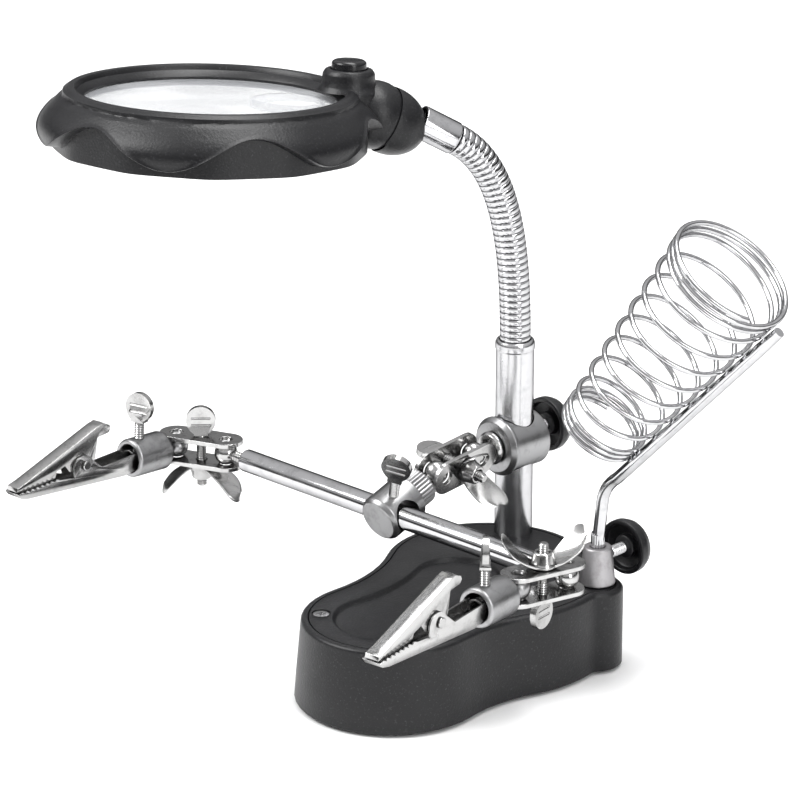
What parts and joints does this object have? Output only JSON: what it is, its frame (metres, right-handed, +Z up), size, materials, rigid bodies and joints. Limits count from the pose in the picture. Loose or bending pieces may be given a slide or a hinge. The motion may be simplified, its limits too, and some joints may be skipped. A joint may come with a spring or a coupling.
{
  "type": "helping_hands_clamp",
  "caption": "Helping hands clamp on a weighted base with a gooseneck magnifier lamp, alligator clips on ball joints and a coiled soldering iron rest",
  "frame": {"origin": "where the post's axis meets the surface that the feet stand on", "axes": "+Z up along the post; -Y towards the small end of the base and the clips; +X towards the soldering iron rest"},
  "size_m": [0.2505, 0.1957, 0.2112],
  "materials": {
    "black_plastic": "moulded black plastic with a soft sheen",
    "black_gloss": "polished black plastic",
    "black_rubber": "black rubber",
    "chrome_plate": "bright chrome plate",
    "nickel_plate": "bright nickel plate",
    "cast_zinc": "grey cast zinc with a fine grain",
    "bright_steel": "plain steel",
    "lens_glass": "clear polished lens",
    "white_ring": "white plastic ring with clear lamps",
    "battery_wrap": "plain grey battery wrap"
  },
  "bodies": {
    "base": {"base_shell": "black_plastic", "base_cover": "black_plastic", "bottom_plate": "black_plastic", "battery_door": "black_plastic", "rubber_foot_1": "black_rubber", "rubber_foot_2": "black_rubber", "rubber_foot_3": "black_rubber", "rubber_foot_4": "black_rubber", "cover_screw": "bright_steel", "ballast_plate": "bright_steel", "battery_1": "battery_wrap", "battery_2": "battery_wrap", "post_tube": "chrome_plate", "gooseneck_1": "chrome_plate", "stand_socket": "cast_zinc"},
    "gooseneck_middle": {"gooseneck_2": "chrome_plate"},
    "gooseneck_end": {"gooseneck_3": "chrome_plate", "neck_ferrule": "chrome_plate", "neck_shell": "black_plastic"},
    "head": {"head_housing": "black_plastic", "main_lens": "lens_glass", "small_lens": "lens_glass", "led_ring": "white_ring"},
    "switch": {"switch_button": "black_gloss"},
    "post_clamp": {"clamp_body": "nickel_plate"},
    "clamp_knob_body": {"clamp_knob": "black_plastic"},
    "arm_stud": {"clamp_ball_stud": "nickel_plate"},
    "centre_joint": {"centre_upper_plate": "nickel_plate", "centre_lower_plate": "nickel_plate", "centre_screw": "nickel_plate"},
    "centre_wing_nut_body": {"centre_wing_nut": "nickel_plate"},
    "bar_stud": {"bar_clamp_stud": "nickel_plate"},
    "bar_holder": {"bar_clamp": "nickel_plate"},
    "bar_screw": {"bar_clamp_screw": "nickel_plate"},
    "cross_bar_body": {"cross_bar": "chrome_plate", "left_bar_stud": "nickel_plate", "right_bar_stud": "nickel_plate"},
    "iron_stand": {"stand_rod": "chrome_plate", "iron_coil": "chrome_plate"},
    "stand_knob_body": {"stand_knob": "black_plastic"},
    "left_joint": {"left_upper_plate": "nickel_plate", "left_lower_plate": "nickel_plate", "left_screw": "nickel_plate"},
    "left_wing_nut_body": {"left_wing_nut": "nickel_plate"},
    "left_holder": {"left_clip_holder": "nickel_plate"},
    "left_holder_screw_body": {"left_holder_screw": "nickel_plate"},
    "left_clip": {"left_lower_jaw": "nickel_plate", "left_clip_pin": "nickel_plate", "left_clip_spring": "bright_steel"},
    "left_jaw": {"left_upper_jaw": "nickel_plate"},
    "right_joint": {"right_upper_plate": "nickel_plate", "right_lower_plate": "nickel_plate", "right_screw": "nickel_plate"},
    "right_wing_nut_body": {"right_wing_nut": "nickel_plate"},
    "right_holder": {"right_clip_holder": "nickel_plate"},
    "right_holder_screw_body": {"right_holder_screw": "nickel_plate"},
    "right_clip": {"right_lower_jaw": "nickel_plate", "right_clip_pin": "nickel_plate", "right_clip_spring": "bright_steel"},
    "right_jaw": {"right_upper_jaw": "nickel_plate"}
  },
  "joints": [
    {"name": "gooseneck_bend_low", "type": "hinge", "parent": "base", "child": "gooseneck_middle", "pos_m": [-0.00072, -0.00086, 0.13223], "axis": [0.7705, -0.6374, 0], "range_deg": [-9, 9]},
    {"name": "gooseneck_bend_high", "type": "hinge", "parent": "gooseneck_middle", "child": "gooseneck_end", "pos_m": [-0.00407, -0.00492, 0.15943], "axis": [0.7705, -0.6374, 0], "range_deg": [-9, 9]},
    {"name": "head_tilt", "type": "hinge", "parent": "gooseneck_end", "child": "head", "pos_m": [-0.03266, -0.04078, 0.19261], "axis": [-0.7708, 0.6311, -0.087], "range_deg": [-22, 3]},
    {"name": "switch_press", "type": "slide", "parent": "head", "child": "switch", "axis": [0.0306, -0.0997, -0.9945], "range_m": [0, 0.0013], "stiffness_N_per_m": 500, "springref_m": -0.001},
    {"name": "post_clamp_swivel", "type": "hinge", "parent": "base", "child": "post_clamp", "pos_m": [0, 0, 0.0661], "axis": [0, 0, 1], "range_deg": [-15, 12]},
    {"name": "clamp_knob_turn", "type": "hinge", "parent": "post_clamp", "child": "clamp_knob_body", "pos_m": [0, 0, 0.0685], "axis": [0.2233, 0.9748, 0], "continuous": true},
    {"name": "arm_roll", "type": "hinge", "parent": "post_clamp", "child": "arm_stud", "pos_m": [-0.00447, -0.01949, 0.0661], "axis": [-0.2233, -0.9748, 0], "range_deg": [-6, 6]},
    {"name": "arm_swing", "type": "hinge", "parent": "arm_stud", "child": "centre_joint", "pos_m": [-0.00447, -0.01949, 0.0661], "axis": [0.979, -0.1126, -0.1699], "range_deg": [-15, 3]},
    {"name": "centre_wing_nut_turn", "type": "hinge", "parent": "centre_joint", "child": "centre_wing_nut_body", "pos_m": [-0.00572, -0.0294, 0.06545], "axis": [0.979, -0.1126, -0.1699], "continuous": true},
    {"name": "bar_swing", "type": "hinge", "parent": "centre_joint", "child": "bar_stud", "pos_m": [-0.00697, -0.0393, 0.06481], "axis": [0.979, -0.1126, -0.1699], "range_deg": [-8, 3]},
    {"name": "bar_roll", "type": "hinge", "parent": "bar_stud", "child": "bar_holder", "pos_m": [-0.0084, -0.04867, 0.06164], "axis": [-0.1434, -0.9374, -0.3173], "range_deg": [-5, 5]},
    {"name": "bar_screw_turn", "type": "hinge", "parent": "bar_holder", "child": "bar_screw", "pos_m": [-0.01035, -0.06142, 0.05732], "axis": [0.3258, -0.3475, 0.8793], "continuous": true},
    {"name": "bar_slide", "type": "slide", "parent": "bar_holder", "child": "cross_bar_body", "axis": [0.9885, -0.1513, 0], "range_m": [-0.008, 0.012]},
    {"name": "left_joint_swing", "type": "hinge", "parent": "cross_bar_body", "child": "left_joint", "pos_m": [-0.09215, -0.05053, 0.05678], "axis": [0, 0, 1], "range_deg": [-30, 12]},
    {"name": "left_wing_nut_turn", "type": "hinge", "parent": "left_joint", "child": "left_wing_nut_body", "pos_m": [-0.10193, -0.05258, 0.05678], "axis": [0, 0, 1], "continuous": true},
    {"name": "left_holder_swing", "type": "hinge", "parent": "left_joint", "child": "left_holder", "pos_m": [-0.11172, -0.05462, 0.05678], "axis": [0, 0, 1], "range_deg": [-25, 12]},
    {"name": "left_holder_screw_turn", "type": "hinge", "parent": "left_holder", "child": "left_holder_screw_body", "pos_m": [-0.11466, -0.07316, 0.05783], "axis": [0.0087, 0.0551, 0.9984], "continuous": true},
    {"name": "left_clip_roll", "type": "hinge", "parent": "left_holder", "child": "left_clip", "pos_m": [-0.11544, -0.07809, 0.05811], "axis": [-0.1562, -0.9861, 0.0558], "range_deg": [-60, 60]},
    {"name": "left_jaw_open", "type": "hinge", "parent": "left_clip", "child": "left_jaw", "pos_m": [-0.11912, -0.10134, 0.06313], "axis": [-0.9877, 0.1564, 0], "range_deg": [0, 16], "stiffness_Nm_per_rad": 0.25, "springref_deg": -28.65},
    {"name": "right_joint_swing", "type": "hinge", "parent": "cross_bar_body", "child": "right_joint", "pos_m": [0.07155, -0.07558, 0.05678], "axis": [-0.009, -0.0227, -0.9997], "range_deg": [-12, 15]},
    {"name": "right_wing_nut_turn", "type": "hinge", "parent": "right_joint", "child": "right_wing_nut_body", "pos_m": [0.06788, -0.08488, 0.05703], "axis": [0.009, 0.0227, 0.9997], "continuous": true},
    {"name": "right_holder_swing", "type": "hinge", "parent": "right_joint", "child": "right_holder", "pos_m": [0.06422, -0.09419, 0.05727], "axis": [-0.009, -0.0227, -0.9997], "range_deg": [-8, 14]},
    {"name": "right_holder_screw_turn", "type": "hinge", "parent": "right_holder", "child": "right_holder_screw_body", "pos_m": [0.0633, -0.11296, 0.05766], "axis": [0.001, 0.0209, 0.9998], "continuous": true},
    {"name": "right_clip_roll", "type": "hinge", "parent": "right_holder", "child": "right_clip", "pos_m": [0.06306, -0.11795, 0.05777], "axis": [-0.0488, -0.9986, 0.0209], "range_deg": [-60, 60]},
    {"name": "right_jaw_open", "type": "hinge", "parent": "right_clip", "child": "right_jaw", "pos_m": [0.0619, -0.14162, 0.06197], "axis": [-0.9988, 0.0489, 0], "range_deg": [0, 16], "stiffness_Nm_per_rad": 0.25, "springref_deg": -28.65},
    {"name": "stand_swivel", "type": "hinge", "parent": "base", "child": "iron_stand", "pos_m": [0.0508, -0.023, 0], "axis": [0, 0, 1], "range_deg": [-60, 40]},
    {"name": "stand_knob_turn", "type": "hinge", "parent": "base", "child": "stand_knob_body", "pos_m": [0.05236, -0.01312, 0.0405], "axis": [0.1564, 0.9877, 0], "continuous": true}
  ],
  "couplings": [
    {"joint": "gooseneck_bend_high", "follows": "gooseneck_bend_low", "ratio": 1}
  ]
}
